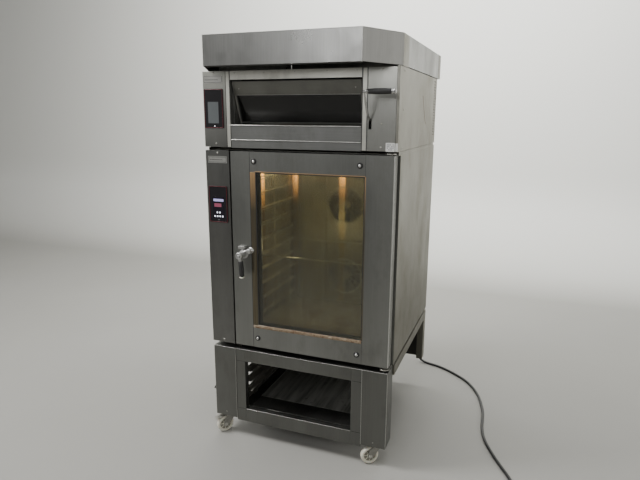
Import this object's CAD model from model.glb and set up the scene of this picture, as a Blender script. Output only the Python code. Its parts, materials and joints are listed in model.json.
import json
import math

import bmesh
import bpy
from mathutils import Matrix, Vector


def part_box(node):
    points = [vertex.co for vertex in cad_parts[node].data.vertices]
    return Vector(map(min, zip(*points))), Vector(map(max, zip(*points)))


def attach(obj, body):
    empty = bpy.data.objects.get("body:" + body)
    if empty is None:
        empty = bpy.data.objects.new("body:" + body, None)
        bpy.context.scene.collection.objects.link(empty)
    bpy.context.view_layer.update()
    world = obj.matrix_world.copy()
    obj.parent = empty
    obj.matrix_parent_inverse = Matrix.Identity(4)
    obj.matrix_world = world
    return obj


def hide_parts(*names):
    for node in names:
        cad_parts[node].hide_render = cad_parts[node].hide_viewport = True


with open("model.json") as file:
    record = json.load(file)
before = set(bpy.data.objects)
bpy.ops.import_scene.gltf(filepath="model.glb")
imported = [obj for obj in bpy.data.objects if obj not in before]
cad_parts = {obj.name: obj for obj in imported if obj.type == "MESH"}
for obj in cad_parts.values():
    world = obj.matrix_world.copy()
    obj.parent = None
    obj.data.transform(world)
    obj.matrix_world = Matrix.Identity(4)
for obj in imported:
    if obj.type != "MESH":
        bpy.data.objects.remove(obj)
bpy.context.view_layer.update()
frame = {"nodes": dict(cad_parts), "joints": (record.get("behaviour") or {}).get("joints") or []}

nodes = frame["nodes"]

# Places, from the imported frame

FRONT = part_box("control_columns")[0].y      # the ovens' front plane


def at(x, y, z):
    """A point given in millimetres: from the middle, from the ovens' front plane, from the floor."""
    return Vector((x / 1000, FRONT + y / 1000, z / 1000))


def low_high(node):
    """A node's lowest and highest corner, in the same millimetres."""
    low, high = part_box(node)
    origin = Vector((0, FRONT, 0))
    return (low - origin) * 1000, (high - origin) * 1000


# Camera

EYE = (0.9894, -2.7265, 1.6666)             # metres
YAW, PITCH, ROLL = 0.3616, -0.225, 0.0043   # radians: left, up, and about the line of sight
LENS, SENSOR = 30.74, 36                    # millimetres


def make_camera():
    """The photograph's viewpoint: eye height, right of the middle, turned left and down."""
    yaw, pitch, roll = YAW, PITCH, ROLL
    forward = Vector((-math.sin(yaw) * math.cos(pitch), math.cos(yaw) * math.cos(pitch), math.sin(pitch)))
    right = Vector((math.cos(yaw), math.sin(yaw), 0))
    up = right.cross(forward)
    tilted_right = right * math.cos(roll) + up * math.sin(roll)
    tilted_up = up * math.cos(roll) - right * math.sin(roll)
    turn = Matrix((tilted_right, tilted_up, -forward)).transposed().to_4x4()
    data = bpy.data.cameras.new("camera")
    data.sensor_width = SENSOR
    data.lens = LENS
    camera = bpy.data.objects.new("camera", data)
    camera.matrix_world = Matrix.Translation(EYE) @ turn
    bpy.context.scene.collection.objects.link(camera)
    bpy.context.scene.camera = camera


make_camera()

# Materials


class Look:
    """A Principled material, with small helpers that add texture in object space (metres)."""

    def __init__(self, name, colour, metallic=0.0, roughness=0.5, **fixed):
        self.material = bpy.data.materials.new(name)
        self.material.use_nodes = True
        self.material.diffuse_color = (*colour, 1)
        self.tree = self.material.node_tree
        self.shader = self.tree.nodes["Principled BSDF"]
        self.set("Base Color", (*colour, 1))
        self.set("Metallic", metallic)
        self.set("Roughness", roughness)
        for socket, value in fixed.items():
            self.set(socket.replace("_", " "), value)
        self.colour = (*colour, 1)
        self.place = None
        self.heights = None

    def set(self, socket, value):
        self.shader.inputs[socket].default_value = value

    def add(self, kind, **settings):
        node = self.tree.nodes.new(kind)
        for key, value in settings.items():
            setattr(node, key, value)
        return node

    def join(self, source, target):
        if isinstance(source, bpy.types.NodeSocket):
            self.tree.links.new(source, target)
        else:
            target.default_value = source

    def where(self, stretch):
        """Object coordinates, scaled along each axis."""
        if self.place is None:
            self.place = self.add("ShaderNodeTexCoord").outputs["Object"]
        mapping = self.add("ShaderNodeMapping")
        mapping.inputs["Scale"].default_value = stretch
        self.join(self.place, mapping.inputs["Vector"])
        return mapping.outputs["Vector"]

    def noise(self, stretch, detail=3.0, rough=0.55, seed=0.0):
        """Cloud noise with so many features per metre along each axis."""
        if not isinstance(stretch, (tuple, list)):
            stretch = (stretch, stretch, stretch)
        node = self.add("ShaderNodeTexNoise", noise_dimensions="4D")
        node.inputs["Scale"].default_value = 1.0
        node.inputs["Detail"].default_value = detail
        node.inputs["Roughness"].default_value = rough
        node.inputs["W"].default_value = seed
        self.join(self.where(stretch), node.inputs["Vector"])
        return node.outputs["Fac"]

    def axis(self, name):
        """One object coordinate, in metres."""
        split = self.add("ShaderNodeSeparateXYZ")
        self.join(self.where((1, 1, 1)), split.inputs["Vector"])
        return split.outputs[name]

    def remap(self, value, low, high, to_low=0.0, to_high=1.0):
        node = self.add("ShaderNodeMapRange")
        self.join(value, node.inputs["Value"])
        node.inputs["From Min"].default_value = low
        node.inputs["From Max"].default_value = high
        node.inputs["To Min"].default_value = to_low
        node.inputs["To Max"].default_value = to_high
        return node.outputs["Result"]

    def maths(self, operation, a, b=0.0):
        node = self.add("ShaderNodeMath", operation=operation)
        self.join(a, node.inputs[0])
        self.join(b, node.inputs[1])
        return node.outputs["Value"]

    def tint(self, factor, colour):
        """Lays a second colour over what is there, by a factor that varies over the surface."""
        node = self.add("ShaderNodeMix", data_type="RGBA")
        self.join(factor, node.inputs[0])
        self.join(self.colour, node.inputs[6])
        node.inputs[7].default_value = (*colour, 1)
        self.colour = node.outputs[2]
        self.join(self.colour, self.shader.inputs["Base Color"])
        return self

    def rough(self, value, low, high):
        self.join(self.remap(value, 0.25, 0.75, low, high), self.shader.inputs["Roughness"])
        return self

    def bump(self, height, depth, strength=1.0):
        """Raises the surface by a height field, whose range 0 to 1 is a depth in millimetres."""
        node = self.add("ShaderNodeBump")
        node.inputs["Distance"].default_value = depth / 1000
        node.inputs["Strength"].default_value = strength
        self.join(height, node.inputs["Height"])
        if self.heights is not None:
            self.join(self.heights, node.inputs["Normal"])
        self.heights = node.outputs["Normal"]
        self.join(self.heights, self.shader.inputs["Normal"])
        return self

    def edge_wear(self, colour, amount=0.5, reach=1.5):
        """Lighter metal where an edge is rubbed bare."""
        bevel = self.add("ShaderNodeBevel", samples=4)
        bevel.inputs["Radius"].default_value = reach / 1000
        geometry = self.add("ShaderNodeNewGeometry")
        dot = self.add("ShaderNodeVectorMath", operation="DOT_PRODUCT")
        self.join(bevel.outputs["Normal"], dot.inputs[0])
        self.join(geometry.outputs["Normal"], dot.inputs[1])
        rubbed = self.remap(dot.outputs["Value"], 0.995, 0.90, 0.0, amount)
        broken = self.maths("MULTIPLY", rubbed, self.remap(self.noise(40), 0.35, 0.6))
        return self.tint(broken, colour)


GRIME = (0.10, 0.095, 0.08)


def brushed(name, colour, grain, roughness, light=1.35, grime=GRIME, dirt=0.35):
    """Brushed stainless sheet: fine grain, broad bands, wiped smudges, stains and fine scratches."""
    look = Look(name, colour, metallic=1.0, roughness=roughness, Anisotropic=0.35)
    fine = look.noise(grain, detail=2)
    wide_grain = tuple(g * 0.22 if g > 100 else g * 0.6 for g in grain)
    wide = look.noise(wide_grain, detail=3, seed=1.7)
    bands = look.noise((5.5, 5.5, 0.5), detail=2, seed=4.1)
    wipes = look.noise((7, 7, 4), detail=5, rough=0.65, seed=7.3)
    spots = look.noise(38, detail=6, rough=0.7, seed=2.2)
    bright = tuple(min(1.0, c * light) for c in colour)
    look.tint(look.remap(wide, 0.38, 0.68, 0.0, 0.22), bright)
    look.tint(look.remap(bands, 0.42, 0.66, 0.0, 0.55), bright)
    look.tint(look.remap(fine, 0.35, 0.62, 0.14, 0.0), tuple(c * 0.55 for c in colour))
    look.tint(look.remap(wipes, 0.50, 0.72, 0.0, dirt), grime)
    look.tint(look.remap(spots, 0.66, 0.74, 0.0, dirt), grime)
    look.rough(wipes, roughness - 0.07, roughness + 0.16)
    look.bump(fine, 0.06).bump(wipes, 0.5, 0.35)
    return look.edge_wear(tuple(min(1.0, c * 1.9) for c in colour), 0.6)


def shaded(look, start, end, amount, colour):
    """Lays a second colour over the sheet, from none at one height to amount at the other (metres)."""
    patchy = look.remap(look.noise((4, 4, 2.5), detail=4, seed=8.8), 0.25, 0.70, 0.6, 1.0)
    growing = look.remap(look.axis("Z"), start, end, 0.0, amount)
    return look.tint(look.maths("MULTIPLY", growing, patchy), colour)


def painted_or_cast(name, colour, metallic, roughness, mottle, size, depth):
    """Metal or plastic with a mottled skin."""
    look = Look(name, colour, metallic=metallic, roughness=roughness)
    skin = look.noise(size, detail=5, rough=0.6)
    look.tint(look.remap(skin, 0.4, 0.7, 0.0, mottle), tuple(c * 0.6 for c in colour))
    look.rough(skin, max(0.05, roughness - 0.1), roughness + 0.12)
    return look.bump(look.noise(size * 6, detail=2), depth)


def tinted_glass(name, colour, roughness, film, film_amount, clear, gloss=0.5):
    """Oven glass with a baked-on film that has run down it."""
    look = Look(name, colour, roughness=roughness, Transmission_Weight=clear, IOR=1.45,
                Specular_IOR_Level=gloss)
    runs = look.noise((46, 46, 1.6), detail=4, rough=0.6)
    haze = look.noise((5, 5, 3), detail=4, seed=3.0)
    both = look.maths("MULTIPLY", look.remap(runs, 0.30, 0.75), look.remap(haze, 0.25, 0.70))
    look.tint(look.remap(both, 0.0, 0.8, 0.0, film_amount), film)
    look.join(look.remap(both, 0.0, 0.8, roughness, roughness + 0.22), look.shader.inputs["Roughness"])
    return look


def glowing(name, colour, strength):
    look = Look(name, colour, roughness=0.35, Emission_Color=(*colour, 1), Emission_Strength=strength)
    return look.bump(look.noise(120), 0.05)


LEVEL = (9, 9, 900)
UPRIGHT = (900, 900, 9)
BACKWARD = (900, 9, 900)
# Brushed sheet: colour, grain, roughness, then brushed()'s light, grime and dirt where they differ.
BRUSHED = {
    "steel": ((0.225, 0.228, 0.216), UPRIGHT, 0.36),
    "steel_level": ((0.235, 0.237, 0.230), LEVEL, 0.36),
    "stand_steel": ((0.150, 0.152, 0.143), UPRIGHT, 0.38),
    "column_steel": ((0.155, 0.155, 0.148), UPRIGHT, 0.36),
    "lever_steel": ((0.30, 0.30, 0.28), UPRIGHT, 0.34, 1.25),
    "hood_steel": ((0.262, 0.262, 0.254), UPRIGHT, 0.30, 1.5, GRIME, 0.2),
    "side_steel": ((0.385, 0.375, 0.335), UPRIGHT, 0.46, 1.10, (0.27, 0.24, 0.17), 0.35),
    "header_steel": ((0.66, 0.65, 0.59), LEVEL, 0.42, 1.2),
    "dark_sheet": ((0.060, 0.060, 0.056), LEVEL, 0.50, 1.8, (0.03, 0.025, 0.02)),
    "deck_rail": ((0.185, 0.185, 0.170), LEVEL, 0.45, 1.25),
    "shelf": ((0.10, 0.10, 0.095), BACKWARD, 0.42, 2.0),
    "bright_lip": ((0.74, 0.73, 0.70), LEVEL, 0.30, 1.15, GRIME, 0.1),
    "cavity": ((0.29, 0.275, 0.205), UPRIGHT, 0.42, 1.3, (0.09, 0.055, 0.02), 0.65),
}
# Other skins: colour, metallic, roughness, mottle, its spots per metre, its depth in millimetres.
SKINS = {
    "cheek": ((0.16, 0.16, 0.15), 0.35, 0.5, 0.35, 30, 0.05),
    "guard": ((0.50, 0.47, 0.36), 0.55, 0.35, 0.4, 60, 0.05),
    "fork_steel": ((0.30, 0.295, 0.27), 1.0, 0.40, 0.5, 60, 0.12),
    "dirty_nylon": ((0.26, 0.245, 0.20), 0.0, 0.6, 0.5, 70, 0.1),
    "chrome": ((0.72, 0.72, 0.70), 1.0, 0.22, 0.25, 45, 0.04),
    "satin": ((0.50, 0.50, 0.485), 0.85, 0.36, 0.25, 30, 0.03),
    "polish": ((0.50, 0.50, 0.49), 1.0, 0.12, 0.3, 40, 0.04),
    "zinc": ((0.52, 0.51, 0.47), 1.0, 0.36, 0.45, 70, 0.12),
    "brass": ((0.62, 0.46, 0.20), 1.0, 0.34, 0.4, 60, 0.08),
    "plate": ((0.56, 0.555, 0.53), 1.0, 0.34, 0.2, 30, 0.03),
    "label": ((0.80, 0.80, 0.77), 0.0, 0.45, 0.15, 50, 0.05),
    "heater": ((0.10, 0.085, 0.07), 0.8, 0.55, 0.5, 90, 0.2),
    "wool": ((0.52, 0.45, 0.27), 0.0, 0.95, 0.5, 140, 2.0),
    "stone": ((0.36, 0.31, 0.24), 0.0, 0.85, 0.5, 110, 0.6),
    "rubber": ((0.022, 0.022, 0.022), 0.0, 0.55, 0.3, 120, 0.1),
    "cord": ((0.018, 0.018, 0.019), 0.0, 0.42, 0.3, 260, 0.08),
    "plastic": ((0.012, 0.011, 0.013), 0.0, 0.34, 0.2, 200, 0.05),
    "nylon": ((0.76, 0.73, 0.62), 0.0, 0.42, 0.35, 90, 0.1),
    "screen_off": ((0.115, 0.125, 0.130), 0.0, 0.16, 0.15, 25, 0.02),
    "screen_dark": ((0.012, 0.010, 0.016), 0.0, 0.10, 0.1, 25, 0.02),
    "border_red": ((0.16, 0.012, 0.02), 0.0, 0.35, 0.2, 60, 0.02),
    "mark": ((0.42, 0.42, 0.44), 0.0, 0.4, 0.2, 60, 0.02),
    "dark_gap": ((0.008, 0.008, 0.008), 0.0, 0.8, 0.2, 60, 0.02),
    "rust_mark": ((0.30, 0.20, 0.13), 0.3, 0.6, 0.4, 80, 0.05),
}

# What gives light of its own: colour and strength.
GLOWS = {
    "lamp": ((0.10, 0.055, 0.02), 1.2), "glow_lilac": ((0.36, 0.34, 0.62), 0.7),
    "glow_pink": ((0.20, 0.05, 0.08), 0.6), "glow_white": ((0.80, 0.82, 0.90), 1.4),
}


def make_materials():
    """Every material of the oven, by the name that the pieces use."""
    looks = {name: brushed(name, *values) for name, values in BRUSHED.items()}
    looks |= {name: painted_or_cast(name, *values) for name, values in SKINS.items()}
    shaded(looks["column_steel"], 1.50, 1.84, 0.95, (0.56, 0.56, 0.51))
    shaded(looks["lever_steel"], 1.70, 1.86, 0.8, (0.50, 0.50, 0.46))
    shaded(looks["side_steel"], 1.80, 0.70, 0.90, (0.125, 0.120, 0.095))
    looks["cavity"].set("Metallic", 0.5)
    looks["plastic"].set("Specular IOR Level", 0.3)
    looks["nylon"].set("Subsurface Weight", 0.08)
    looks["door_glass"] = tinted_glass("door_glass", (0.80, 0.80, 0.68), 0.015, (0.50, 0.48, 0.34), 0.80,
                                       0.986)
    looks["deck_glass"] = tinted_glass("deck_glass", (0.12, 0.12, 0.12), 0.10, (0.08, 0.075, 0.06), 0.6,
                                       0.98, 0.25)
    looks |= {name: glowing(name, *values) for name, values in GLOWS.items()}
    for make in (residue, gold_strip, lit_channel, loose_sheet):
        looks[make.__name__] = make()
    return {name: look.material for name, look in looks.items()}


def residue():
    """Baked crumbs and fat along the window's lower edge."""
    look = Look("residue", (0.30, 0.235, 0.155), roughness=0.6)
    crumbs = look.noise((160, 160, 160), detail=5, rough=0.7)
    stain = look.noise((26, 26, 60), detail=4, seed=2.0)
    look.tint(look.remap(crumbs, 0.42, 0.60), (0.13, 0.065, 0.03))
    look.tint(look.remap(stain, 0.52, 0.64, 0.0, 0.7), (0.46, 0.40, 0.31))
    return look.rough(crumbs, 0.45, 0.8).bump(crumbs, 1.2)


def gold_strip():
    """Polished strip beside the glass: amber where the lamps light it, dull brown below."""
    look = Look("gold_strip", (0.19, 0.17, 0.125), metallic=1.0, roughness=0.34)
    streaks = look.noise((420, 420, 2.5), detail=4)
    look.tint(look.remap(streaks, 0.40, 0.66), (0.10, 0.08, 0.05))
    height = look.remap(look.axis("Z"), 1.22, 1.40)
    look.tint(look.maths("MULTIPLY", height, 0.75), (0.90, 0.56, 0.28))
    return look.rough(streaks, 0.22, 0.46).bump(streaks, 0.08)


def lit_channel():
    """Yellowed steel that the lamps light strongly at the top, fading downwards."""
    look = Look("lit_channel", (0.46, 0.38, 0.20), metallic=1.0, roughness=0.35)
    streaks = look.noise((300, 300, 2.0), detail=4)
    look.tint(look.remap(streaks, 0.40, 0.66), (0.16, 0.11, 0.05))
    height = look.remap(look.axis("Z"), 1.15, 1.42)
    falloff = look.maths("POWER", height, 2.2)
    look.join(look.maths("MULTIPLY", falloff, look.remap(streaks, 0.3, 0.7, 9.0, 4.0)),
              look.shader.inputs["Emission Strength"])
    look.set("Emission Color", (1.0, 0.46, 0.15, 1))
    return look.rough(streaks, 0.25, 0.5)


def loose_sheet():
    """Scuffed, smeared baking sheet."""
    look = Look("loose_sheet", (0.27, 0.27, 0.25), metallic=0.4, roughness=0.5)
    smears = look.noise((30, 2.2, 30), detail=5, rough=0.65)
    spots = look.noise(26, detail=6, rough=0.7, seed=1.5)
    look.tint(look.remap(smears, 0.40, 0.66), (0.10, 0.10, 0.09))
    look.tint(look.remap(spots, 0.58, 0.70, 0.0, 0.8), (0.05, 0.045, 0.04))
    return look.rough(smears, 0.35, 0.65).bump(spots, 0.2)


MATERIALS = make_materials()

# Mesh pieces


def circle(centre, side, other, radius, sides):
    """Points of a circle in the plane of two directions. The radius is in millimetres."""
    turns = [math.tau * k / sides for k in range(sides)]
    return [centre + (side * math.cos(a) + other * math.sin(a)) * radius / 1000 for a in turns]


class Piece:
    """One visible object, gathered from several shapes. Points are in metres, sizes in millimetres."""

    def __init__(self, name, body, material, slot):
        self.name, self.body, self.material, self.slot = name, body, material, slot
        self.mesh = bmesh.new()

    def box(self, low, high):
        """Box between two points."""
        made = bmesh.ops.create_cube(self.mesh, size=1.0)
        size = Matrix.Diagonal((*(high - low), 1))
        place = Matrix.Translation((low + high) / 2)
        bmesh.ops.transform(self.mesh, matrix=place @ size, verts=made["verts"])
        return self

    def lathe(self, base, along, profile, sides=32):
        """Surface of revolution: profile is [(radius, distance along the axis)], both in millimetres."""
        axis = Vector(along).normalized()
        side = axis.orthogonal().normalized()
        other = axis.cross(side)
        rings = []
        for radius, distance in profile:
            centre = base + axis * distance / 1000
            if radius == 0:
                rings.append([self.mesh.verts.new(centre)])
                continue
            rings.append([self.mesh.verts.new(p) for p in circle(centre, side, other, radius, sides)])
        for first, second in zip(rings, rings[1:]):
            for k in range(sides):
                corners = [first[k % len(first)], first[(k + 1) % len(first)],
                           second[(k + 1) % len(second)], second[k % len(second)]]
                corners = list(dict.fromkeys(corners))
                if len(corners) > 2:
                    self.mesh.faces.new(corners)
        for ring in (rings[0], rings[-1]):
            if len(ring) > 2 and profile[0] != profile[-1]:
                self.mesh.faces.new(ring)
        return self

    def rod(self, start, end, radius, sides=24):
        """Straight rod with lightly rounded ends."""
        length = (end - start).length * 1000
        r = min(0.25 * radius, 0.6)
        profile = [(radius - r, 0), (radius, r), (radius, length - r), (radius - r, length)]
        return self.lathe(start, end - start, profile, sides)

    def tube(self, points, radius, sides=12, closed=False):
        """Round wire through points, with flat ends, or a closed ring."""
        count = len(points)
        rings = []
        side = None
        for i, point in enumerate(points):
            before = points[i - 1] if i or closed else point
            after = points[(i + 1) % count] if i < count - 1 or closed else point
            along = (after - before).normalized()
            if side is None:
                side = along.orthogonal()
            side = (side - along * side.dot(along)).normalized()
            other = along.cross(side)
            rings.append([self.mesh.verts.new(p) for p in circle(point, side, other, radius, sides)])
        pairs = list(zip(rings, rings[1:]))
        if closed:
            pairs.append((rings[-1], rings[0]))
        for first, second in pairs:
            for k in range(sides):
                n = (k + 1) % sides
                self.mesh.faces.new([first[k], first[n], second[n], second[k]])
        if not closed:
            self.mesh.faces.new(rings[0])
            self.mesh.faces.new(rings[-1])
        return self

    def slab(self, outline, thickness):
        """Flat outline (points) pushed along a vector."""
        front = [self.mesh.verts.new(p) for p in outline]
        back = [self.mesh.verts.new(p + thickness) for p in outline]
        self.mesh.faces.new(front)
        self.mesh.faces.new(list(reversed(back)))
        for i in range(len(front)):
            n = (i + 1) % len(front)
            self.mesh.faces.new([front[i], front[n], back[n], back[i]])
        return self

    def done(self, bevel=0.0, smooth=38, segments=2):
        """Closes the piece: outward faces, rounded edges (millimetres), material, body and slot."""
        bmesh.ops.recalc_face_normals(self.mesh, faces=self.mesh.faces)
        for edge in self.mesh.edges:
            edge.smooth = edge.calc_face_angle(0.0) < math.radians(smooth)
        for face in self.mesh.faces:
            face.smooth = True
        data = bpy.data.meshes.new(self.name)
        self.mesh.to_mesh(data)
        self.mesh.free()
        data.materials.append(MATERIALS[self.material])
        thing = bpy.data.objects.new(self.name, data)
        bpy.context.scene.collection.objects.link(thing)
        if bevel:
            add_bevel(thing, bevel, segments)
        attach(thing, self.body)
        return thing


def add_bevel(thing, width, segments=2):
    """Rounds the sharp edges and keeps the flat faces flat."""
    bevel = thing.modifiers.new("rounded edges", "BEVEL")
    bevel.width = width / 1000
    bevel.segments = segments
    bevel.limit_method = "ANGLE"
    bevel.angle_limit = math.radians(35)
    bevel.use_clamp_overlap = True
    bevel.miter_outer = "MITER_ARC"
    bevel.harden_normals = True


def dress(node, material, bevel=0.0):
    """Gives a CAD node its material, and softens its edges."""
    thing = nodes[node]
    thing.data.materials.clear()
    thing.data.materials.append(MATERIALS[material])
    if bevel:
        weld = thing.modifiers.new("joined corners", "WELD")
        weld.merge_threshold = 0.00002      # 0.02 mm
        add_bevel(thing, bevel)
        weighted = thing.modifiers.new("even normals", "WEIGHTED_NORMAL")
        weighted.keep_sharp = True


# Supply cord

CORD_D = 0.015
ROUTE = [
    (300, 962, 760), (300, 990, 757), (302, 1028, 742), (308, 1072, 702), (318, 1112, 628),
    (329, 1148, 525), (340, 1180, 415), (350, 1207, 300), (358, 1226, 200), (364, 1235, 135),
    (370, 1237, 88), (384, 1234, 48), (412, 1228, 19), (452, 1219, 8.5), (497, 1207, 7.5),
    (541, 1190, 7.5), (610, 1149, 7.5), (676, 1098, 7.5), (730, 1045, 7.5), (774, 981, 7.5),
    (804, 920, 7.5), (827, 859, 7.5), (849, 770, 7.5), (864, 677, 7.5), (868, 600, 7.5),
    (873, 519, 7.5), (892, 420, 7.5), (934, 312, 7.5), (985, 209, 7.5), (1030, 122, 7.5),
    (1058, 40, 7.5), (1068, -35, 7.5),
]
COIL_X, COIL_Y = 1150, -85
COIL_R = 82
COIL_TURNS = 2.25
TURN_POINTS = 20


def cord_points():
    """The route by hand, then the coil's turns, each one cord thickness higher, then into the plug."""
    points = [at(*p) for p in ROUTE]
    steps = round(COIL_TURNS * TURN_POINTS)
    for i in range(steps + 1):
        turned = i / TURN_POINTS
        angle = math.pi + math.tau * turned
        points.append(at(COIL_X + COIL_R * math.cos(angle), COIL_Y + COIL_R * math.sin(angle),
                         7.5 + 15 * turned))
    points.append(at(COIL_X + 24, COIL_Y - COIL_R, 39))
    return points


def make_cord():
    points = cord_points()
    data = bpy.data.curves.new("supply_cord", "CURVE")
    data.dimensions = "3D"
    data.bevel_depth = CORD_D / 2
    data.bevel_resolution = 5
    data.use_fill_caps = True
    spline = data.splines.new("BEZIER")
    spline.bezier_points.add(len(points) - 1)
    spline.resolution_u = 6
    for bezier, point in zip(spline.bezier_points, points):
        bezier.co = point
        bezier.handle_left_type = bezier.handle_right_type = "AUTO"
    data.materials.append(MATERIALS["cord"])
    cord = bpy.data.objects.new("supply_cord", data)
    bpy.context.scene.collection.objects.link(cord)
    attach(cord, "root")
    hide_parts("cord_tube", "cord_coil")
    return cord


def make_plug():
    """Five-pin industrial plug: ribbed boot, grip, collar with a keyed rim, and pins."""
    low, high = low_high("cord_plug")
    base = at(low.x, (low.y + high.y) / 2, (low.z + high.z) / 2)
    along = Vector((1, 0, 0))
    rim = high.x - low.x
    boot = [(8.2, 0), (11.4, 0.6)]
    for i in range(5):
        boot += [(11.8, 2 + 5 * i), (11.8, 4.6 + 5 * i), (10.4, 5 + 5 * i), (10.4, 6.6 + 5 * i)]
    grip = [(14, 28), (17, 30), (24, 34), (27.5, 40)]
    for i in range(6):
        grip += [(28, 42 + 7 * i), (28, 46 + 7 * i), (26.6, 47 + 7 * i), (26.6, 48.4 + 7 * i)]
    collar = [(30, 85), (35, 88), (37.8, 91), (37.8, rim - 8), (36.6, rim - 7), (36.6, rim - 1), (35.8, rim),
              (35, rim), (34.6, rim - 2), (34.6, 96), (0, 96)]
    plug = Piece("plug_body", "root", "plastic", "black_plastic")
    plug.lathe(base, along, [(0, 0)] + boot + grip + collar, 56)
    plug.box(base + Vector((0.100, -0.006, 0.0352)), base + Vector((rim / 1000 - 0.002, 0.006, 0.0375)))
    plug = plug.done()
    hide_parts("cord_plug")
    pins = Piece("plug_pins", "root", "brass", "black_plastic")
    for k in range(5):
        a = math.tau * k / 5
        foot = base + Vector((0.0962, 0.020 * math.cos(a), 0.020 * math.sin(a)))
        radius = 4.0 if k == 0 else 3.4
        pins.lathe(foot, along, [(radius, 0), (radius, 30), (radius - 1, 33), (0, 34)], 20)
    pins = pins.done()
    return plug, pins


def make_gland():
    """Hexagon gland on the rear sheet, with a ribbed, tapered boot that the cord leaves by."""
    low, high = low_high("cable_gland")
    centre_x, centre_z = (low.x + high.x) / 2, (low.z + high.z) / 2
    foot = at(centre_x, low_high("rear_panels")[1].y, centre_z)
    outward = Vector((0, 1, 0))
    gland = Piece("gland_boot", "root", "plastic", "black_plastic")
    washer = [(8, 0.1), (21.5, 0.1), (21.5, 1.6), (20, 2.2), (8, 2.2)]
    hexagon = [(8, 2.2), (19.5, 2.2), (20.5, 3.2), (20.5, 8.4), (19, 9.4), (8, 9.4)]
    gland.lathe(foot, outward, washer, 48)
    gland.lathe(foot, outward, hexagon, 6)
    boot = [(8, 9.4), (16, 9.4), (16, 12.5)]
    for i in range(3):
        boot += [(14.6 - 1.5 * i, 13 + 4.6 * i), (14.6 - 1.5 * i, 14.8 + 4.6 * i),
                 (13.6 - 1.5 * i, 15.2 + 4.6 * i), (13.6 - 1.5 * i, 17 + 4.6 * i)]
    gland.lathe(foot, outward, boot + [(9.4, 27.9), (7.6, 28)], 40)
    gland = gland.done(0.3)
    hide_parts("cable_gland")
    return gland


cord = make_cord()
plug, plug_pins = make_plug()
gland = make_gland()


# CAD nodes that stay as they are

DRESSED = {
    "stand_posts": ("stand_steel", 1.0), "stand_front_frame": ("stand_steel", 0.8),
    "stand_side_rails": ("side_steel", 0.8), "stand_rear_legs": ("side_steel", 0.8),
    "stand_rear_panel": ("dark_sheet", 0.4), "base_frame": ("dark_sheet", 1.0),
    "bay_shelf": ("shelf", 0.4), "bay_runners": ("zinc", 0.3), "caster_plates": ("zinc", 0.6),
    "oven_base_panel": ("dark_sheet", 0.4), "side_panels": ("side_steel", 0.5),
    "rear_panels": ("side_steel", 0.4), "top_panels": ("side_steel", 0.4),
    "control_columns": ("column_steel", 0.7), "cavity_liner": ("cavity", 0.3), "fan_baffle": ("cavity", 0.4),
    "insulation": ("wool", 0.0), "oven_front_frame": ("steel", 0.5), "door_gasket": ("rubber", 1.5),
    "tray_racks": ("guard", 0.3), "fan_motors": ("dark_sheet", 1.0), "ring_heaters": ("heater", 0.0),
    "cavity_lamps": ("lamp", 0.0), "hinge_brackets": ("zinc", 0.5), "controllers": ("plastic", 1.0),
    "displays": ("screen_dark", 0.2), "plates_and_label": ("plate", 0.2), "panel_screws": ("zinc", 0.0),
    "drain_valve": ("brass", 0.3), "deck_front_frame": ("steel_level", 0.5),
    "lever_panel": ("lever_steel", 0.4), "deck_chamber": ("dark_sheet", 0.4),
    "stone_sole": ("stone", 1.0), "rod_heaters": ("heater", 0.0),
    "hood_shell": ("hood_steel", 0.6), "flue_spigot": ("side_steel", 0.3), "door_frame": ("steel", 0.9),
    "door_glass": ("door_glass", 0.5), "handle_base": ("chrome", 0.8), "door_handle": ("chrome", 0.6),
    "deck_door_frame": ("deck_rail", 0.8), "deck_door_glass": ("deck_glass", 0.4),
    "deck_lever": ("chrome", 0.0), "deck_lever_grip": ("rubber", 1.0),
    "fan_wheel_upper": ("cavity", 0.4), "fan_wheel_lower": ("cavity", 0.4),
    "brake_pedal": ("zinc", 0.4), "drain_lever": ("chrome", 0.4),
}
CORNERS = ["front_left", "front_right", "rear_left", "rear_right"]
for corner in CORNERS:
    DRESSED["fork_" + corner] = ("fork_steel", 0.5)
    DRESSED["wheel_" + corner] = ("nylon", 0.8)
for name, (material, bevel) in DRESSED.items():
    dress(name, material, bevel)


# Detail shared by several parts


def plate_box(piece, x, y, z):
    """Adds a box to a piece, from three (low, high) ranges in millimetres."""
    return piece.box(at(x[0], y[0], z[0]), at(x[1], y[1], z[1]))


def boxes(name, body, material, slot, ranges, bevel=0.0):
    """One piece made only of boxes."""
    piece = Piece(name, body, material, slot)
    for x, y, z in ranges:
        plate_box(piece, x, y, z)
    piece.done(bevel)


def frame_line(piece, x, y, z, width):
    """Adds a flat rectangular line: its outer x and z ranges, its y range and its width."""
    plate_box(piece, x, y, (z[0], z[0] + width))
    plate_box(piece, x, y, (z[1] - width, z[1]))
    plate_box(piece, (x[0], x[0] + width), y, (z[0] + width, z[1] - width))
    plate_box(piece, (x[1] - width, x[1]), y, (z[0] + width, z[1] - width))
    return piece


def rounded_outline(x, z, y, radius, steps=6):
    """Corner-rounded upright rectangle, as points."""
    corners = [(x[1] - radius, z[1] - radius, 0), (x[0] + radius, z[1] - radius, 90),
               (x[0] + radius, z[0] + radius, 180), (x[1] - radius, z[0] + radius, 270)]
    points = []
    for cx, cz, start in corners:
        for k in range(steps + 1):
            a = math.radians(start + 90 * k / steps)
            points.append(at(cx + radius * math.cos(a), y, cz + radius * math.sin(a)))
    return points


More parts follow.
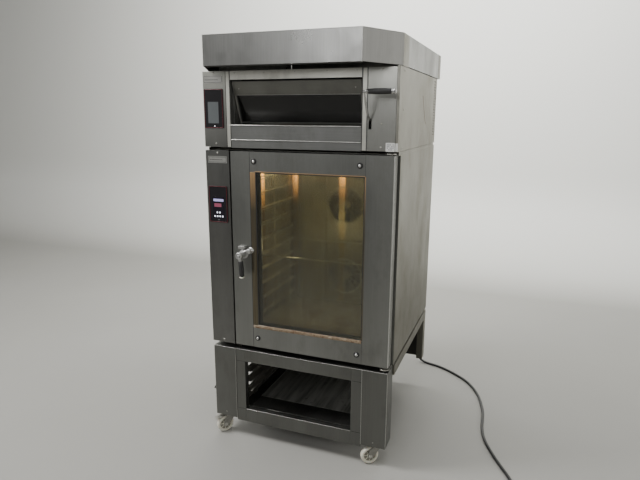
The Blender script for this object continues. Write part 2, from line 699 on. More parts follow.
def smooth_path(points, steps=6):
    """Catmull-Rom points between the given ones."""
    path = []
    last = len(points) - 1
    for i in range(last):
        a, b, c, d = points[max(i - 1, 0)], points[i], points[i + 1], points[min(i + 2, last)]
        for s in range(steps):
            t = s / steps
            path.append(0.5 * (2 * b + (c - a) * t + (2 * a - 5 * b + 4 * c - d) * t * t
                               + (3 * b - a - 3 * c + d) * t ** 3))
    return path + [points[-1]]


FRONTWARD = Vector((0, -1, 0))
RIGHTWARD = Vector((1, 0, 0))
UPWARD = Vector((0, 0, 1))


def screw_heads(name, body, places, radius, facing=FRONTWARD, washer=True):
    """Round-headed screws with a cross recess, and a washer under each."""
    heads = Piece(name, body, "zinc", "zinc")
    sockets = Piece(name + "_recesses", body, "dark_gap", "black_plastic")
    for place in places:
        rise = 0.0
        if washer:
            disc = [(0, 0), (radius * 1.45, 0), (radius * 1.45, 0.7), (radius * 1.3, 1.0), (0, 1.0)]
            heads.lathe(place, facing, disc, 24)
            rise = 1.0
        dome = [(0, rise)] + [(radius * math.cos(a), rise + 0.3 * radius + 0.35 * radius * math.sin(a))
                              for a in (math.pi / 2 * k / 5 for k in range(5))] + [(0, rise + 0.65 * radius)]
        heads.lathe(place, facing, dome, 24)
        top = place + facing * (rise + 0.66 * radius) / 1000
        side = facing.orthogonal().normalized()
        other = facing.cross(side)
        for a, b in ((side, other), (other, side)):
            corners = [top + a * s * 0.00055 * radius + b * t * 0.00012 * radius
                       for s, t in ((-1, -1), (1, -1), (1, 1), (-1, 1))]
            sockets.slab(corners, facing * 0.00012)
    heads.done()
    sockets.done()


# Deck oven's front

def deck_front():
    """Covers, bright lips, cheeks, dark seams and rivets round the deck oven's mouth."""
    low, high = low_high("deck_front_frame")
    mouth_x = (-326, 309)
    boxes("deck_jamb_covers", "root", "header_steel", "stainless",
          [(x, (-1.6, -0.05), (low.z + 4, high.z - 2))
           for x in ((mouth_x[0] - 20, mouth_x[0] - 3), (mouth_x[1] + 4, mouth_x[1] + 21))], 0.7)
    boxes("deck_header_cover", "root", "header_steel", "stainless",
          [((mouth_x[0] + 2, mouth_x[1] - 2), (-1.3, -0.05), (1823, high.z - 1))], 0.6)
    lips = Piece("deck_bright_lips", "root", "bright_lip", "stainless")
    ends = mouth_x[0] + 1, mouth_x[1] - 1
    for y, z, radius in ((-4.2, 1618.4, 1.9), (-3.2, 1551.4, 1.5), (-0.6, 1822.6, 1.0)):
        lips.rod(at(ends[0], y, z), at(ends[1], y, z), radius, 16)
    plate_box(lips, ends, (-4, 60), (1619.6, 1620.6))
    lips.done(0.2)
    cheeks = Piece("deck_cheek_covers", "root", "cheek", "stainless")
    for x in ((mouth_x[0] + 0.3, mouth_x[0] + 1.0), (mouth_x[1] - 1.0, mouth_x[1] - 0.3)):
        outline = [at(x[0], y, z) for y, z in ((3, 1620), (3, 1820), (10, 1820), (62, 1692), (88, 1620))]
        cheeks.slab(outline, RIGHTWARD * (x[1] - x[0]) / 1000)
    cheeks.done()
    seams = Piece("deck_seams", "root", "dark_gap", "stainless")
    for x in (mouth_x[0] - 1.6, mouth_x[1] + 1.6, mouth_x[0] - 23, mouth_x[1] + 24.5):
        plate_box(seams, (x - 0.7, x + 0.7), (-0.25, 0.5), (low.z + 3, high.z - 1))
    plate_box(seams, ends, (-0.35, 0.5), (1614.5, 1616))
    plate_box(seams, ends, (-0.35, 0.5), (1547.6, 1549.2))
    seams.done()
    spots = Piece("deck_header_rivets", "root", "zinc", "stainless")
    for x in (-300, -150, 0, 150, 285):
        spots.lathe(at(x, -1.3, 1851), FRONTWARD, [(0, 0), (2.6, 0), (2.1, 0.8), (1, 1.1), (0, 1.2)], 16)
    spots.done()


LEAN = math.radians(21)     # of the deck door at rest
HINGE_Y, HINGE_Z = 16, 1811


def on_deck_door(x, y, z):
    """A point on the slanted deck door, drawn hanging straight down from its level axis."""
    return at(x, HINGE_Y + y * math.cos(LEAN) - z * math.sin(LEAN),
              HINGE_Z + y * math.sin(LEAN) + z * math.cos(LEAN))


def deck_box(piece, x, y, z):
    """Adds a box that is square to the slanted door."""
    outline = [on_deck_door(px, y[0], pz) for px, pz in
               ((x[0], z[0]), (x[1], z[0]), (x[1], z[1]), (x[0], z[1]))]
    piece.slab(outline, on_deck_door(0, y[1], 0) - on_deck_door(0, y[0], 0))


def deck_door_details():
    """Glass bead, rail cover, bright edges and two screws on the slanted door."""
    bead = Piece("deck_door_bead", "deck_door", "rubber", "black_rubber")
    for x, z in (((-309, 292), (-63, -58.6)), ((-309, 292), (-191, -187)),
                 ((-309.5, -305), (-187, -63)), ((288, 292.5), (-187, -63))):
        deck_box(bead, x, (-5.4, -3.05), z)
    bead.done(0.5)
    rail = Piece("deck_door_rail_cover", "deck_door", "deck_rail", "dark_sheet")
    deck_box(rail, (-318, 301), (-7.4, -6.05), (-56, 3))
    rail.done(0.5)
    edge = Piece("deck_door_bright_edges", "deck_door", "plate", "dark_sheet")
    deck_box(edge, (-320, -311.5), (-7.2, -6.05), (-197, -2))
    deck_box(edge, (-309, 292), (-7.0, -6.05), (-58.4, -57.2))
    edge.done(0.3)
    screws = [on_deck_door(x, -7.4, -27) for x in (-290, 274)]
    screw_heads("deck_door_screws", "deck_door", screws, 3.2,
                Vector((0, -math.cos(LEAN), -math.sin(LEAN))), washer=False)


GRIP_YZ = (-95, 1760)       # the lever's grip lies level, along x


def deck_lever():
    """Curved arm out of the slot, and a barrel-shaped grip between two bright caps."""
    x = 346.5
    arm_points = [at(x, y, z) for y, z in ((22, 1630), (0, 1643.4), (-20, 1655), (-41, 1671), (-59, 1692),
                                           (-73, 1716), (-85, 1740), GRIP_YZ)]
    arm = Piece("lever_arm", "deck_lever", "polish", "chrome")
    arm.tube(smooth_path(arm_points), 4.1, 16)
    arm.rod(at(x - 6, 22, 1630), at(x + 84, 22, 1630), 5)
    button = [(0, -8), (4.4, -8), (5.2, -5), (6.2, 0), (6.2, 3.4), (4.6, 5.6), (0, 6.2)]
    inner_cap = [(0, 0), (5, 1), (5, 7), (8.6, 8.4), (9.4, 10), (9.4, 15), (8.6, 15.9), (0, 15.9)]
    outer_cap = [(0, 0), (10.4, 0), (11.2, 0.8), (11.4, 4), (10.8, 5), (11.4, 6), (11.2, 13), (10, 16.4),
                 (7, 18.4), (0, 19)]
    arm.lathe(at(x, *GRIP_YZ), -RIGHTWARD, button, 28)
    arm.lathe(at(x, *GRIP_YZ), RIGHTWARD, inner_cap, 32)
    arm.lathe(at(x + 113.2, *GRIP_YZ), RIGHTWARD, outer_cap, 40)
    arm = arm.done()
    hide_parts("deck_lever")
    grip = Piece("lever_grip", "deck_lever", "rubber", "black_rubber")
    profile = [(0, 0), (9.6, 0), (10.6, 1.2)]
    profile += [(10.6 + 1.5 * math.sin(math.pi * k / 10), 1.2 + 9.46 * k) for k in range(1, 10)]
    profile += [(10.6, 95.8), (9.6, 97), (0, 97)]
    grip.lathe(at(x + 16.1, *GRIP_YZ), RIGHTWARD, profile, 40)
    grip = grip.done()
    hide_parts("deck_lever_grip")
    collar = Piece("lever_slot_collar", "root", "dark_gap", "black_plastic")
    frame_line(collar, (340.2, 352.8), (-0.9, -0.05), (1607.6, 1652.4), 1.3)
    collar.done(0.2)


# Controls

def controller_looks():
    """Rounded bezels with a thin red border; the upper screen is off, the lower one shows plain shapes."""
    bezels = Piece("controller_bezels", "root", "plastic", "black_plastic")
    borders = Piece("controller_borders", "root", "border_red", "black_plastic")
    for x0, z0 in ((-465, 1603), (-459, 1150)):
        x, z = (x0, x0 + 102), (z0, z0 + 180)
        bezels.slab(rounded_outline(x, z, -0.05, 6), Vector((0, -0.0037, 0)))
        inset = 3.2
        inner_x, inner_z = (x[0] + inset, x[1] - inset), (z[0] + inset, z[1] - inset)
        borders.tube(rounded_outline(inner_x, inner_z, -3.8, 4), 0.95, 8, closed=True)
    bezels = bezels.done(0.6)
    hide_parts("controllers")
    borders.done()
    off = Piece("upper_screen", "root", "screen_off", "display_glass")
    off.slab(rounded_outline((-445, -388), (1626, 1724), -3.7, 2), Vector((0, -0.0004, 0)))
    off = off.done(0.15)
    on = Piece("lower_screen", "root", "screen_dark", "display_glass")
    on.slab(rounded_outline((-439, -374), (1168, 1278), -3.7, 2), Vector((0, -0.0004, 0)))
    on = on.done(0.15)
    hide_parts("displays")
    y = (-4.4, -4.12)
    shapes = {
        "glow_lilac": [((-434, -379), (1254, 1266))],
        "glow_pink": [((-430, -391), (1227, 1244))],
        "glow_white": [((-418, -411), (1196, 1203)), ((-404, -397), (1196, 1203))]
        + [((-432 + 14.2 * k, -424.5 + 14.2 * k), (1177, 1184)) for k in range(4)],
    }
    for material, places in shapes.items():
        boxes("screen_" + material, "root", material, "display_glass", [(x, y, z) for x, z in places])
    lamp = Piece("controller_lamp", "root", "glow_white", "display_glass")
    lamp.lathe(at(-411, -3.7, 1613), FRONTWARD, [(0, 0), (2.6, 0), (2.2, 0.5), (0, 0.8)], 16)
    lamp.done()
    mark = Piece("controller_mark", "root", "mark", "display_glass")
    mark.lathe(at(-408, -3.7, 1163), FRONTWARD, [(0, 0), (2.2, 0), (1.8, 0.4), (0, 0.5)], 16)
    mark.done()


def plates():
    """Raised borders and rivets of the two blank plates."""
    borders = Piece("plate_borders", "root", "dark_gap", "plate")
    rivets = Piece("plate_rivets", "root", "zinc", "plate")
    for x, z in (((-457, -354), (1440, 1472)), ((-466, -364), (1808, 1844))):
        inner = (x[0] + 3.5, x[1] - 3.5), (z[0] + 3.5, z[1] - 3.5)
        frame_line(borders, inner[0], (-1.42, -1.22), inner[1], 1.3)
        plate_box(borders, (inner[0][0] + 6, inner[0][1] - 20), (-1.42, -1.22), (z[0] + 14.6, z[0] + 16.4))
        for px in (x[0] + 2.2, x[1] - 2.2):
            place = at(px, -1.2, (z[0] + z[1]) / 2)
            rivets.lathe(place, FRONTWARD, [(0, 0), (1.6, 0), (1.2, 0.7), (0, 0.9)], 12)
    borders.done()
    rivets.done()
    boxes("blank_label", "root", "label", "plate",
          [((418, 457), (-0.95, -0.65), (1515.5, 1552.5)), ((457.6, 469.5), (1.9, 2.25), (1517, 1551))], 0.1)
    squares = Piece("label_squares", "root", "mark", "plate")
    for i in range(5):
        for k in range(4):
            if (i * 3 + k * 5) % 4:
                x, z = (423 + 6.2 * i, 427.4 + 6.2 * i), (1521 + 7 * k, 1526 + 7 * k)
                plate_box(squares, x, (-1.1, -0.96), z)
    squares.done()


# Convection oven's door

def door_details():
    """Seams, strips, bead, the crusted ledge, the domed screws and the edge trim of the glass door."""
    low, high = low_high("door_frame")
    window_x, window_z = (-205, 331), (638, 1404)
    depth, right_seam = (-0.22, 0.4), (window_x[1] - 0.6, window_x[1] + 0.5)
    boxes("door_seams", "door", "dark_gap", "stainless",
          [((-235.2, -233.2), depth, (low.z + 0.5, high.z - 0.5)),
           (right_seam, depth, (low.z + 0.5, window_z[0] - 1)),
           (right_seam, depth, (window_z[1] + 1, high.z - 0.5))])
    strip = Piece("door_gold_strip", "door", "gold_strip", "stainless")
    left = ((-232.6, -0.05), (-232.6, -0.8), (-222, -2.2), (-214, -2.4), (-207, -1.2), (-205.4, -0.05))
    right = ((330.4, -0.05), (330.4, -1.2), (333.6, -1.0), (334.4, -0.05))
    for section in (left, right):
        outline = [at(x, y, window_z[0] + 2) for x, y in section]
        strip.slab(outline, UPWARD * (window_z[1] - window_z[0] - 3) / 1000)
    plate_box(strip, (window_x[0] - 2, window_x[1]), (-1.0, -0.05), (window_z[1] + 0.5, window_z[1] + 3))
    strip.done(0.3)
    bead = Piece("window_bead", "door", "rubber", "black_rubber")
    frame_line(bead, (window_x[0] + 0.4, window_x[1] - 0.4), (0.4, 2.95),
               (window_z[0] + 0.4, window_z[1] - 0.4), 5)
    bead.done(0.8)
    ledge = Piece("window_ledge", "door", "residue", "stainless")
    section = [(-0.05, 624), (-1.1, 624), (-2.4, 627), (-2.8, 635), (-0.9, 640.5), (2.9, 642),
               (2.9, 638.4), (-0.05, 637)]
    ledge.slab([at(-231, y, z) for y, z in section], RIGHTWARD * 0.560)
    for k in range(90):     # crumbs, strewn by multiples of irrational steps
        spread = (k * 0.618034) % 1
        level = (k * 0.381966 + 0.13) % 1
        size = 1.1 + 2.6 * ((k * 0.7548776) % 1) ** 3
        place = at(-226 + 550 * spread, -2.2, 627 + 11 * level)
        crumb = [(size * 1.5, -0.6), (size * 1.3, 0.1), (size * 0.8, 0.42 * size), (0, 0.55 * size)]
        ledge.lathe(place, FRONTWARD, crumb, 9)
    ledge.done(0.25)
    pads = Piece("door_screw_pads", "door", "rubber", "black_rubber")
    domes = Piece("door_screw_domes", "door", "chrome", "zinc")
    for x, z in ((-212, 1453), (306, 1452), (-210, 571), (307, 567)):
        pads.lathe(at(x, -0.05, z), FRONTWARD, [(0, 0), (14, 0), (13.4, 2.4), (11, 4.8), (0, 4.8)], 32)
        dome = [(7 * math.cos(a), 4.8 + 4.2 * math.sin(a)) for a in (math.pi / 2 * k / 8 for k in range(8))]
        domes.lathe(at(x, -0.05, z), FRONTWARD, [(0, 4.8)] + dome + [(0, 9)], 32)
    pads.done()
    domes.done()
    boxes("door_edge_trim", "door", "bright_lip", "stainless",
          [((457.2, 460.0), (-0.9, -0.05), (low.z + 3, high.z - 3))], 0.4)


def door_handle():
    """Spindle rose, stop block, latch knuckle with its link, ring boss and hanging grip."""
    x, z = -275, 1003
    base = Piece("handle_base", "door", "satin", "chrome")
    rose = [(0, 0), (24, 0), (24, 3.4), (22.6, 5), (17, 6.6), (14.6, 9), (14.2, 15), (12, 16), (0, 16)]
    base.lathe(at(x, -0.1, z), FRONTWARD, rose, 48)
    base.lathe(at(x, -14, z), FRONTWARD, [(0, 0), (6.9, 0), (6.9, 46.5), (6, 48), (0, 48.4)], 32)
    plate_box(base, (x - 17, x + 15), (-29, -0.1), (z + 30, z + 43))
    base = base.done(1.6, segments=3)
    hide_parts("handle_base")
    latch = Piece("handle_latch", "door", "satin", "chrome")
    knuckle = [(0, 0), (15, 0), (15, 3), (11.4, 6), (9.8, 10), (9.8, 17), (12.6, 20), (13.4, 24),
               (12.4, 28.4), (9, 31), (0, 31.6)]
    latch.lathe(at(x + 38, -0.1, z + 20), FRONTWARD, knuckle, 40)
    link = [at(x + 30, -23, z + 22), at(x + 22, -26, z + 20), at(x + 12, -30, z + 14)]
    stub = [at(x + 40, -12, z + 20), at(x + 50, -10, z + 22), at(x + 56, -5, z + 22)]
    latch.tube(smooth_path(link), 5.4, 14)
    latch.tube(smooth_path(stub), 4.6, 14)
    latch.done()
    ring = Piece("handle_ring", "door_handle", "satin", "chrome")
    boss = [(7.3, 0), (15, 0), (17, 1.6), (17.4, 11), (16, 12.4), (16, 14), (17.6, 15.4), (17.6, 31),
            (16.4, 34), (14, 35.4), (12.4, 35.4), (11.6, 34), (8.6, 34), (7.6, 35.6), (7.3, 35.6), (7.3, 0)]
    neck = [(0, 0), (9.6, 0), (8.4, 4), (8, 8), (8.6, 10.4), (8.6, 12.8), (0, 12.8)]
    ring.lathe(at(x, -24.4, z), FRONTWARD, boss, 48)
    ring.lathe(at(x + 3, -47, z - 14), -UPWARD, neck, 32)
    ring = ring.done()
    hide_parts("door_handle")
    grip = Piece("handle_grip", "door_handle", "rubber", "black_rubber")
    down = Vector((0.045, 0.03, -1))        # the grip hangs a little off plumb
    barrel = [(0, 0), (9.4, 0), (10.8, 1.6)]
    barrel += [(10.8 + 1.5 * math.sin(math.pi * k / 8), 1.6 + 9.3 * k) for k in range(1, 8)]
    barrel += [(10.8, 76.2), (9.8, 77.6), (0, 77.6)]
    grip.lathe(at(x + 4.5, -45.5, z - 26.6), down, barrel, 40)
    grip.done()
    cap = Piece("handle_cap", "door_handle", "nylon", "nylon")
    button = [(0, 0), (10.6, 0), (12.4, 1), (12.6, 4), (11.6, 6.4), (8, 7.6), (0, 8)]
    cap.lathe(at(x + 8, -43.2, z - 104.2), down, button, 40)
    cap.done()


# Inside the cavity

def cavity_details():
    """What shows dimly through the glass: fan guards, ribs, lit channels, rack wires, lamp holders."""
    baffle_low, baffle_high = low_high("fan_baffle")
    liner_low, liner_high = low_high("cavity_liner")
    y = baffle_low.y - 3
    fan_x = (baffle_low.x + baffle_high.x) / 2
    guards = Piece("fan_guards", "root", "guard", "cavity_steel")
    for fan in ("fan_wheel_lower", "fan_wheel_upper"):
        low, high = low_high(fan)
        fan_z = (low.z + high.z) / 2
        for radius in (18, 42, 68, 94, 101):
            ring = [at(fan_x + radius * math.cos(a), y, fan_z + radius * math.sin(a))
                    for a in (math.tau * k / 48 for k in range(48))]
            guards.tube(ring, 2.8 if radius == 101 else 1.5, 8, closed=True)
        for k in range(3):
            a = math.pi * k / 3 + 0.26
            reach = Vector((math.cos(a), 0, math.sin(a))) * 0.104
            guards.rod(at(fan_x, y + 2.2, fan_z) - reach, at(fan_x, y + 2.2, fan_z) + reach, 1.8, 10)
    guards.done()
    ribs = Piece("baffle_ribs", "root", "cavity", "cavity_steel")
    for x in (baffle_low.x + 14, fan_x - 118, fan_x + 118, baffle_high.x - 14):
        outline = [at(x + dx, baffle_low.y - dy, baffle_low.z + 8)
                   for dx, dy in ((-7, 0.05), (-4, 5), (4, 5), (7, 0.05))]
        ribs.slab(outline, UPWARD * (baffle_high.z - baffle_low.z - 16) / 1000)
    ribs.done(0.6)
    glow = Piece("lit_air_channels", "root", "lit_channel", "cavity_steel")
    for x in ((liner_low.x + 8, baffle_low.x - 4), (26, 58)):
        depth = baffle_low.y + 3.2 if x[0] < 0 else baffle_low.y - 0.05
        plate_box(glow, x, (depth - 1.2, depth), (baffle_low.z + 10, baffle_high.z - 12))
    plate_box(glow, (liner_low.x + 1.8, liner_low.x + 3), (130, 210), (liner_low.z + 30, liner_high.z - 8))
    glow.done(0.3)
    racks = Piece("rack_wires", "root", "guard", "cavity_steel")
    for x in (liner_low.x + 12, liner_high.x - 12):
        for depth in (150, 305, 460):
            racks.rod(at(x, depth, liner_low.z + 6), at(x, depth, liner_high.z - 40), 3.2, 12)
        for z in range(640, 1400, 78):
            racks.rod(at(x, 96, z + 10), at(x, 524, z + 10), 2.4, 10)
    racks.done()
    holders = Piece("lamp_holders", "root", "zinc", "cavity_steel")
    lamp_low, lamp_high = low_high("cavity_lamps")
    for x in (lamp_low.x + 6, lamp_high.x - 6):
        for z in (lamp_low.z - 5, lamp_high.z - 1):
            holders.lathe(at(x, 82, z), UPWARD, [(0, 0), (7.6, 0), (8.4, 1), (8.4, 5), (7.4, 6), (0, 6)], 24)
    holders.done()


# Stand

def stand_details():
    """Bright edges, seams, welds and screws, the bay's strips and guard, and a loose baking sheet."""
    low, high = low_high("stand_posts")
    frame_low, frame_high = low_high("stand_front_frame")
    boxes("stand_bright_edges", "root", "bright_lip", "stainless",
          [((low.x + 1, high.x - 1), (low.y + 0.3, low.y + 3.4), (high.z + 0.05, high.z + 1.6)),
           ((-284.5, 284.5), (frame_low.y - 0.6, frame_low.y + 3), (164.4, 166.2))], 0.4)
    seams = Piece("stand_seams", "root", "dark_gap", "stainless")
    for side in (-1, 1):
        across = sorted((side * 285.4, side * 337))
        for z in (164.8, 431.6):
            plate_box(seams, across, (frame_low.y - 0.25, frame_low.y + 0.4), (z - 0.8, z + 0.8))
        plate_box(seams, (side * 337.8 - 1.1, side * 337.8 + 1.1), (-5.3, -4.6),
                  (frame_low.z + 14, frame_high.z - 1))
    seams.done()
    shelf_low, shelf_high = low_high("bay_shelf")
    rack_low, _ = low_high("bay_runners")
    boxes("bay_side_strips", "root", "dark_sheet", "dark_sheet",
          [((rack_low.x + 2.2, shelf_low.x + 6), (shelf_low.y, shelf_high.y),
            (shelf_high.z - 0.4, shelf_high.z + 0.9))], 0.2)
    boxes("stand_gap_guard", "root", "dark_sheet", "dark_sheet",
          [((-330, 400), (47.4, 48.8), (440, 519))], 0.2)
    x, y, z = (shelf_low.x + 8, shelf_high.x - 4), (142, shelf_high.y - 12), shelf_high.z + 1
    boxes("bay_loose_sheet", "root", "loose_sheet", "dark_sheet",
          [(x, y, (z, z + 1.5)), ((x[0], x[0] + 2), y, (z + 1.5, z + 5)),
           ((x[1] - 2, x[1]), y, (z + 1.5, z + 5))], 0.4)
    bolts = [at(side * 400, low.y, low.z + 24) for side in (-1, 1)]
    screw_heads("stand_screws", "root", bolts, 3.4, washer=False)
    welds = Piece("stand_welds", "root", "plate", "stainless")
    for side in (-1, 1):
        for x in (338.4, 461.4):
            welds.rod(at(side * x, low.y + 0.6, low.z + 1), at(side * x, low.y + 0.6, high.z - 1), 1.1, 10)
    welds.done()


def joint(name):
    """A joint's place and axis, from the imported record."""
    found = next(j for j in frame["joints"] if j["name"] == name)
    return Vector(found["pos_m"]), Vector(found["axis"]).normalized()


# Casters, in metres: faces measured along the axle from the wheel's middle, then heights, then reach.
WEB_FACE, HUB_FACE, FORK_FACE = 0.0070, 0.0139, 0.0192
FORK_TOP, PLATE_UNDERSIDE = 0.0895, 0.1008
BOLT_REACH = 0.0215


def caster(corner):
    """Ribbed nylon wheel, axle bolt and nut, and the swivel's two raceways."""
    centre, axle = joint("roll_" + corner)
    wheel = Piece("wheel_tyre_" + corner, "wheel_" + corner, "nylon", "nylon")
    half = [(5.4, 13.8), (11.6, 13.8), (13, 12.6), (13.4, 8.4), (15, 7.2), (28.4, 6.6), (30.4, 8),
            (31.8, 12.6), (33, 13), (39.2, 13), (41.6, 11.6), (43.4, 8.6), (43.9, 5), (43.95, 0)]
    profile = half + [(r, -w) for r, w in reversed(half[:-1])]
    wheel.lathe(centre, axle, profile + [profile[0]], 64)
    spoke = axle.orthogonal().normalized()
    for k in range(8):
        along = Matrix.Rotation(math.tau * k / 8, 3, axle) @ spoke
        across = axle.cross(along)
        for side in (-1, 1):
            start = centre + axle * side * WEB_FACE
            corners = [start + along * r + across * w for r, w in
                       ((0.0126, -0.0013), (0.0312, -0.0010), (0.0312, 0.0010), (0.0126, 0.0013))]
            wheel.slab(corners, axle * side * 0.0036)
    wheel = wheel.done()
    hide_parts("wheel_" + corner)
    web = Piece("wheel_web_" + corner, "wheel_" + corner, "dirty_nylon", "nylon")
    for side in (-1, 1):
        out = axle * side
        web.lathe(centre + out * WEB_FACE, out, [(13.2, 0), (13.6, 0.9), (29.6, 0.7), (30.4, 0)], 48)
        web.lathe(centre + out * HUB_FACE, out, [(5.6, 0), (8.8, 0), (8.6, 0.5), (5.6, 0.5)], 32)
    web.done()
    hardware = Piece("caster_hardware_" + corner, "fork_" + corner, "zinc", "zinc")
    for side in (-1, 1):
        out = axle * side
        foot = centre + out * FORK_FACE
        hexagon = [(0, 0.8), (8.2, 0.8), (8.4, 1.4), (8.2, 3.4), (6.6, 4.4), (0, 4.4)]
        hardware.lathe(foot, out, [(0, 0), (9.6, 0), (9.6, 0.8), (0, 0.8)], 28)
        hardware.lathe(foot, out, hexagon, 6)
        hardware.lathe(foot, out, [(0, 4.4), (4.2, 4.4), (4.0, 5.2), (0, 5.4)], 20)
    swivel, _ = joint("swivel_" + corner)
    base = Vector((swivel.x, swivel.y, 0.0))
    races = [(0, 0), (24.4, 0), (25.6, 1.2), (25.8, 3), (24.8, 4.4), (24, 4.8), (25.2, 6), (25.2, 8.4),
             (24, 10), (0, 10)]
    hardware.lathe(base + UPWARD * FORK_TOP, UPWARD, races, 48)
    hardware.done(0.2)
    bolts = Piece("caster_bolts_" + corner, "root", "zinc", "zinc")
    head = [(0, 0), (4.6, 0), (4.6, 2.6), (4, 3.2), (0, 3.2)]
    for dx in (-BOLT_REACH, BOLT_REACH):
        for dy in (-BOLT_REACH, BOLT_REACH):
            bolts.lathe(base + Vector((dx, dy, PLATE_UNDERSIDE)), -UPWARD, head, 6)
    bolts.done(0.2)


def small_fittings():
    """Rubber sleeve on the drain lever, and a knurled nut on its stub."""
    pivot, _ = joint("drain_lever_turn")
    slant = math.radians(-150)
    along = Vector((math.sin(slant), 0, math.cos(slant)))
    sleeve = Piece("drain_lever_sleeve", "drain_lever", "rubber", "black_rubber")
    profile = [(0, 0), (4.0, 0), (4.5, 1), (4.4, 16), (4.5, 18), (3.6, 20), (0, 20.4)]
    sleeve.lathe(pivot + along * 0.011, along, profile, 24)
    sleeve.done()
    nut = Piece("drain_nut", "root", "brass", "brass")
    hexagon = [(0, 0), (4, 0), (4.2, 0.3), (4.2, 1.4), (0, 1.6)]
    nut.lathe(pivot + Vector((0, -0.0042, 0)), FRONTWARD, hexagon, 6)
    nut.done()


# Sides, rear, roof

def casing_details():
    """Vent ridges, a scratch, skirts between the ovens, and the rear's screws, cover and plate."""
    x = low_high("side_panels")[1].x
    louvres = Piece("vent_louvres", "root", "side_steel", "stainless_side")
    for side in (-1, 1):
        for y in (850, 892):
            for i in range(20):
                z = 1565 + 15 * i
                section = [(0.02, 2.0), (1.3, 0.7), (1.3, 0.1), (0.02, 0.1)]
                outline = [at(side * (x + dx), y - 0.5, z + dz) for dx, dz in section]
                louvres.slab(outline, Vector((0, 0.029, 0)))
    louvres.done()
    scratch = Piece("side_scratch", "root", "rust_mark", "stainless_side")
    arc = smooth_path([at(x + 0.05, y, z) for y, z in ((629, 1623), (600, 1648), (566, 1690), (540, 1732),
                                                       (523, 1761))], 5)
    scratch.tube(arc, 0.9, 6)
    scratch.done()
    skirts = Piece("casing_skirts", "root", "side_steel", "stainless_side")
    for side in (-1, 1):
        plate_box(skirts, sorted((side * (x - 2.4), side * (x - 0.6))), (30, 905), (1497, 1512.6))
    plate_box(skirts, (-460, 460), (912, 914), (1497, 1512.6))
    skirts.done(0.2)
    rear = low_high("rear_panels")[1].y
    rear_screws = [at(px, rear, pz) for px in (-455, -150, 150, 455)
                   for pz in (530, 1010, 1484, 1530, 1850)]
    screw_heads("rear_screws", "root", rear_screws, 3.4, Vector((0, 1, 0)))
    cover = Piece("mains_cover", "root", "side_steel", "stainless")
    plate_box(cover, (215, 385), (rear + 0.05, rear + 14), (800, 930))
    cover.done(2.0, segments=3)
    screw_heads("mains_cover_screws", "root", [at(px, rear + 14, pz) for px in (226, 374)
                                               for pz in (811, 919)], 3.0, Vector((0, 1, 0)))
    boxes("rear_rating_plate", "root", "plate", "plate",
          [((-420, -320), (rear + 0.05, rear + 0.9), (1340, 1410))], 0.3)


FLUE_Y = 760


def hood_details():
    """Corner seams, side laps, roof screws and ribs, the flue's rolled rim and the hood's inner lip."""
    low, high = low_high("hood_shell")
    seams = Piece("hood_seams", "root", "plate", "stainless")
    corners = ((357, low.y), (high.x, low.y + 217))
    for side in (-1, 1):
        for cx, cy in corners:
            x, y = side * (cx - 0.9), cy + 1.0
            seams.rod(at(x, y, low.z + 1), at(x, y, high.z - 1), 1.1, 10)
    seams.done()
    laps = Piece("hood_side_laps", "root", "side_steel", "stainless_side")
    for side in (-1, 1):
        for thickness, y in ((1.1, (low.y + 219, 149)), (0.9, (960, 1000))):
            x = sorted((side * (high.x + 0.02), side * (high.x + thickness)))
            plate_box(laps, x, y, (low.z + 1, high.z - 1))
    laps.done(0.3)
    rivets = [at(high.x + 1.1, 60, z) for z in (low.z + 20, high.z - 20)]
    screw_heads("hood_side_rivets", "root", rivets, 2.6, RIGHTWARD, washer=False)
    roof = high.z
    roof_screws = [at(x, y, roof) for x in (-330, 0, 330) for y in (-140, 300, 990)]
    roof_screws += [at(85 * math.cos(a), FLUE_Y + 85 * math.sin(a), roof + 2)
                    for a in (math.tau * (k + 0.5) / 8 for k in range(8))]
    screw_heads("roof_screws", "root", roof_screws, 3.2, UPWARD)
    roof_ribs = Piece("roof_ribs", "root", "hood_steel", "stainless")
    for y in (80, 520):
        outline = [at(-380, y + dy, roof + dz) for dy, dz in ((-14, 0.05), (-9, 5), (9, 5), (14, 0.05))]
        roof_ribs.slab(outline, RIGHTWARD * 0.760)
    roof_ribs.done(1.5)
    rim = Piece("flue_rim", "root", "side_steel", "stainless")
    flue_top = low_high("flue_spigot")[1].z
    ring = [at(74.2 * math.cos(a), FLUE_Y + 74.2 * math.sin(a), flue_top - 1.9)
            for a in (math.tau * k / 72 for k in range(72))]
    rim.tube(ring, 1.7, 10, closed=True)
    rim.done()
    boxes("hood_inner_lip", "root", "dark_sheet", "stainless",
          [((-350, 350), (low.y + 2.5, low.y + 26), (low.z + 0.5, low.z + 2))], 0.3)


deck_front()
deck_door_details()
deck_lever()
controller_looks()
plates()
door_details()
door_handle()
cavity_details()
stand_details()
for corner in CORNERS:
    caster(corner)
small_fittings()
casing_details()
hood_details()


# Floor and light

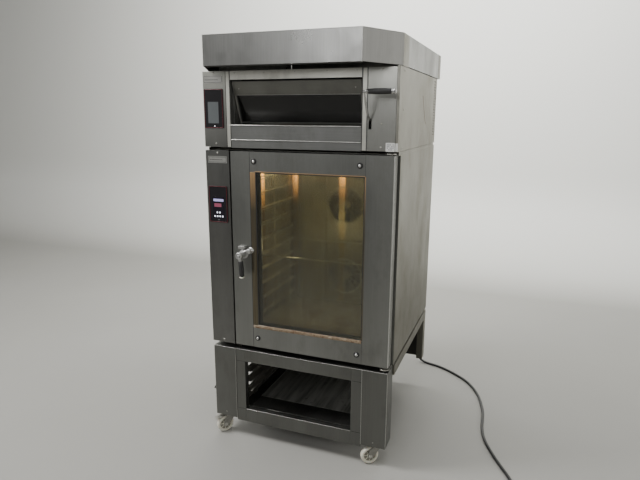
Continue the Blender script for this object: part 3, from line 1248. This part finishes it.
def make_stage():
    """Pale floor that curves up into a wall well behind the oven."""
    stage = bmesh.new()
    profile = [(-9.0, 0.0)] + [(3.2 + 1.0 * math.sin(a), 1.0 - 1.0 * math.cos(a))
                               for a in (math.pi / 2 * k / 12 for k in range(13))] + [(4.2, 7.0)]
    rows = [[stage.verts.new((x, y, z)) for y, z in profile] for x in (-9, 9)]
    for i in range(len(profile) - 1):
        face = stage.faces.new([rows[0][i], rows[1][i], rows[1][i + 1], rows[0][i + 1]])
        face.smooth = True
    data = bpy.data.meshes.new("floor")
    stage.to_mesh(data)
    stage.free()
    look = Look("floor", (0.33, 0.325, 0.305), roughness=0.6)
    look.tint(look.remap(look.noise(1.2, detail=5), 0.35, 0.7, 0.0, 0.25), (0.28, 0.275, 0.255))
    look.tint(look.remap(look.axis("Y"), 2.5, 4.1), (0.82, 0.82, 0.785))
    data.materials.append(look.material)
    floor = bpy.data.objects.new("floor", data)
    bpy.context.scene.collection.objects.link(floor)


def area_light(name, place, target, size, power, colour=(1, 1, 1)):
    data = bpy.data.lights.new(name, "AREA")
    data.shape = "RECTANGLE"
    data.size, data.size_y = size
    data.energy = power
    data.color = colour
    lamp = bpy.data.objects.new(name, data)
    lamp.location = place
    lamp.rotation_euler = (Vector(target) - Vector(place)).to_track_quat("-Z", "Y").to_euler()
    bpy.context.scene.collection.objects.link(lamp)


def make_lights():
    """Soft lights round the oven, a pale room, and three weak lamps inside the cavity."""
    area_light("right_wall", (3.6, 0.4, 1.9), (0.4, 0.1, 1.0), (4.6, 3.6), 38, (1.0, 0.98, 0.93))
    area_light("ceiling", (-0.2, -1.0, 4.4), (0.0, 0.2, 0.8), (3.6, 3.0), 95)
    area_light("window", (-3.0, -1.6, 4.3), (0.1, 0.0, 0.8), (1.3, 1.3), 190, (1.0, 0.99, 0.97))
    area_light("back_wall", (0.0, 1.4, 4.2), (0.0, 4.4, 2.2), (5.0, 1.5), 270, (1.0, 1.0, 0.97))
    area_light("front_card", (-0.42, -3.7, 2.75), (0.3, -0.5, 2.0), (0.9, 1.4), 21)
    area_light("left_fill", (-3.6, -2.2, 1.9), (0.0, 0.0, 1.0), (2.0, 2.4), 9)
    world = bpy.data.worlds.new("room")
    world.use_nodes = True
    background = world.node_tree.nodes["Background"]
    background.inputs["Color"].default_value = (0.80, 0.80, 0.77, 1)
    background.inputs["Strength"].default_value = 0.36
    bpy.context.scene.world = world
    low, high = low_high("cavity_liner")
    for name, x, y, z, power in (("cavity_glow_left", low.x + 90, 330, high.z - 50, 0.7),
                                 ("cavity_glow_right", high.x - 120, 300, high.z - 50, 1.5),
                                 ("cavity_glow_low", low.x + 190, 150, 1010, 0.9)):
        data = bpy.data.lights.new(name, "POINT")
        data.energy = power
        data.color = (1.0, 0.88, 0.68)
        data.shadow_soft_size = 0.04
        lamp = bpy.data.objects.new(name, data)
        lamp.location = at(x, y, z)
        lamp.visible_camera = lamp.visible_transmission = False
        bpy.context.scene.collection.objects.link(lamp)


make_stage()
make_lights()
